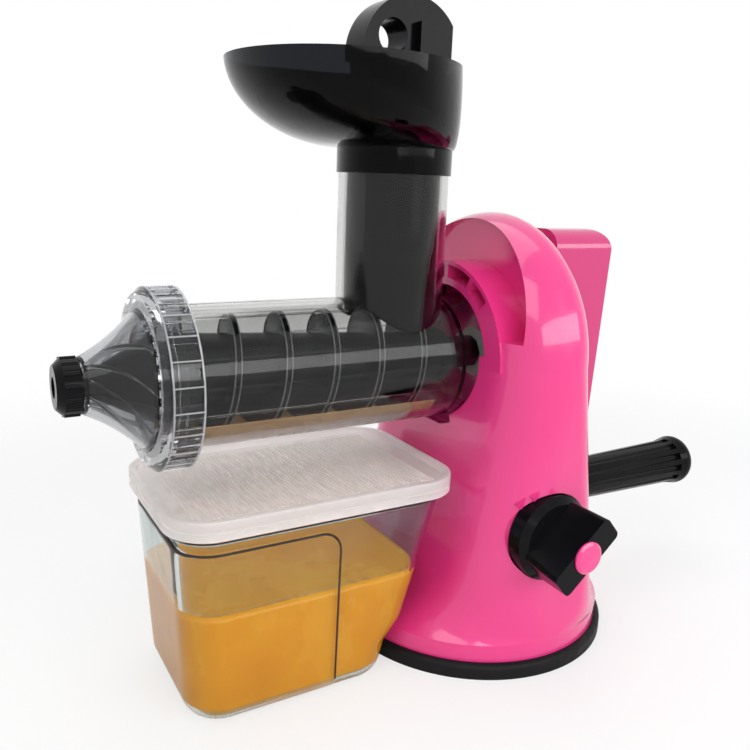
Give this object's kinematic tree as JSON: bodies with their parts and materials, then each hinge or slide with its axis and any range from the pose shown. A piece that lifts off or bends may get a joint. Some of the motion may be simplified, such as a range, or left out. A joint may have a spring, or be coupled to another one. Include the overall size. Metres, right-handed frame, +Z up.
{
  "type": "manual juicer",
  "caption": "Hand-cranked wheatgrass juicer: flared housing on a suction foot, clear barrel with auger and cone, bayonet joint, hopper, pusher, lidded juice cup and crank with turning grip.",
  "frame": {"origin": "centre of the suction foot's underside, on the table", "axes": "+Z up, -Y along the juicing barrel to its nose, +Y to the crank, +X to the suction knob"},
  "size_m": [0.1604, 0.3628, 0.295],
  "materials": {
    "pink": "hot pink, glossy, moulded",
    "black": "black, glossy, moulded",
    "clear": "clear, polished",
    "smoky": "clear dark grey, polished",
    "frosted": "frosted, faintly pink, ribbed",
    "juice": "orange juice in the cup",
    "rubber": "black, soft, satin",
    "steel": "plain steel",
    "white_plastic": "natural nylon, matt"
  },
  "bodies": {
    "base": {"suction_foot": "rubber", "base_plate": "white_plastic", "front_housing": "pink", "rear_cover": "pink", "housing_screws": "steel", "plate_screws": "steel", "crank_bush": "white_plastic"},
    "crank": {"crank_shaft": "steel", "crank_pinion": "white_plastic", "crank_arm": "pink", "arm_screw": "steel", "arm_plug": "pink", "grip_pin": "steel"},
    "grip": {"crank_grip": "black"},
    "gear": {"drive_gear": "white_plastic"},
    "auger": {"auger": "black"},
    "knob": {"cam_shaft": "steel", "suction_knob": "black", "knob_button": "pink"},
    "rod": {"pull_rod": "white_plastic"},
    "barrel": {"juice_barrel": "clear", "auger_seal": "rubber", "nozzle_cone": "clear"},
    "ring": {"lock_ring": "clear"},
    "cap": {"pulp_cap": "black"},
    "hopper": {"feed_hopper": "smoky"},
    "pusher": {"food_pusher": "black"},
    "cup": {"juice_cup": "clear"},
    "lid": {"cup_lid": "frosted"}
  },
  "joints": [
    {"name": "crank_turn", "type": "hinge", "parent": "base", "child": "crank", "pos_m": [0, 0, 0.1788], "axis": [0, 1, 0], "continuous": true},
    {"name": "grip_spin", "type": "hinge", "parent": "crank", "child": "grip", "pos_m": [0, 0.1, 0.059], "axis": [0, 1, 0], "continuous": true},
    {"name": "gear_turn", "type": "hinge", "parent": "base", "child": "gear", "pos_m": [0, 0, 0.1398], "axis": [0, 1, 0], "continuous": true},
    {"name": "auger_turn", "type": "hinge", "parent": "base", "child": "auger", "pos_m": [0, -0.1, 0.1398], "axis": [0, 1, 0], "continuous": true},
    {"name": "knob_turn", "type": "hinge", "parent": "base", "child": "knob", "pos_m": [0, -0.0062, 0.0675], "axis": [1, 0, 0], "range_deg": [0, 90]},
    {"name": "rod_lift", "type": "slide", "parent": "base", "child": "rod", "axis": [0, 0, 1], "range_m": [0, 0.0043]},
    {"name": "barrel_twist", "type": "hinge", "parent": "base", "child": "barrel", "pos_m": [0, -0.02, 0.1398], "axis": [0, 1, 0], "range_deg": [0, 44]},
    {"name": "ring_turn", "type": "hinge", "parent": "barrel", "child": "ring", "pos_m": [0, -0.16, 0.1398], "axis": [0, -1, 0], "range_deg": [0, 60]},
    {"name": "cap_turn", "type": "hinge", "parent": "barrel", "child": "cap", "pos_m": [0, -0.195, 0.1398], "axis": [0, -1, 0], "range_deg": [0, 90]},
    {"name": "hopper_lift", "type": "slide", "parent": "barrel", "child": "hopper", "axis": [0, 0, 1], "range_m": [0, 0.06]},
    {"name": "pusher_lift", "type": "slide", "parent": "hopper", "child": "pusher", "axis": [0, 0, 1], "range_m": [0, 0.12]},
    {"name": "cup_slide", "type": "slide", "parent": "base", "child": "cup", "axis": [0, -1, 0], "range_m": [0, 0.12]},
    {"name": "lid_lift", "type": "slide", "parent": "cup", "child": "lid", "axis": [0, 0, 1], "range_m": [0, 0.008]}
  ],
  "couplings": [
    {"joint": "gear_turn", "follows": "crank_turn", "ratio": -0.5},
    {"joint": "auger_turn", "follows": "crank_turn", "ratio": -0.5},
    {"joint": "knob_turn", "follows": "rod_lift", "rad_per_m": 365}
  ]
}
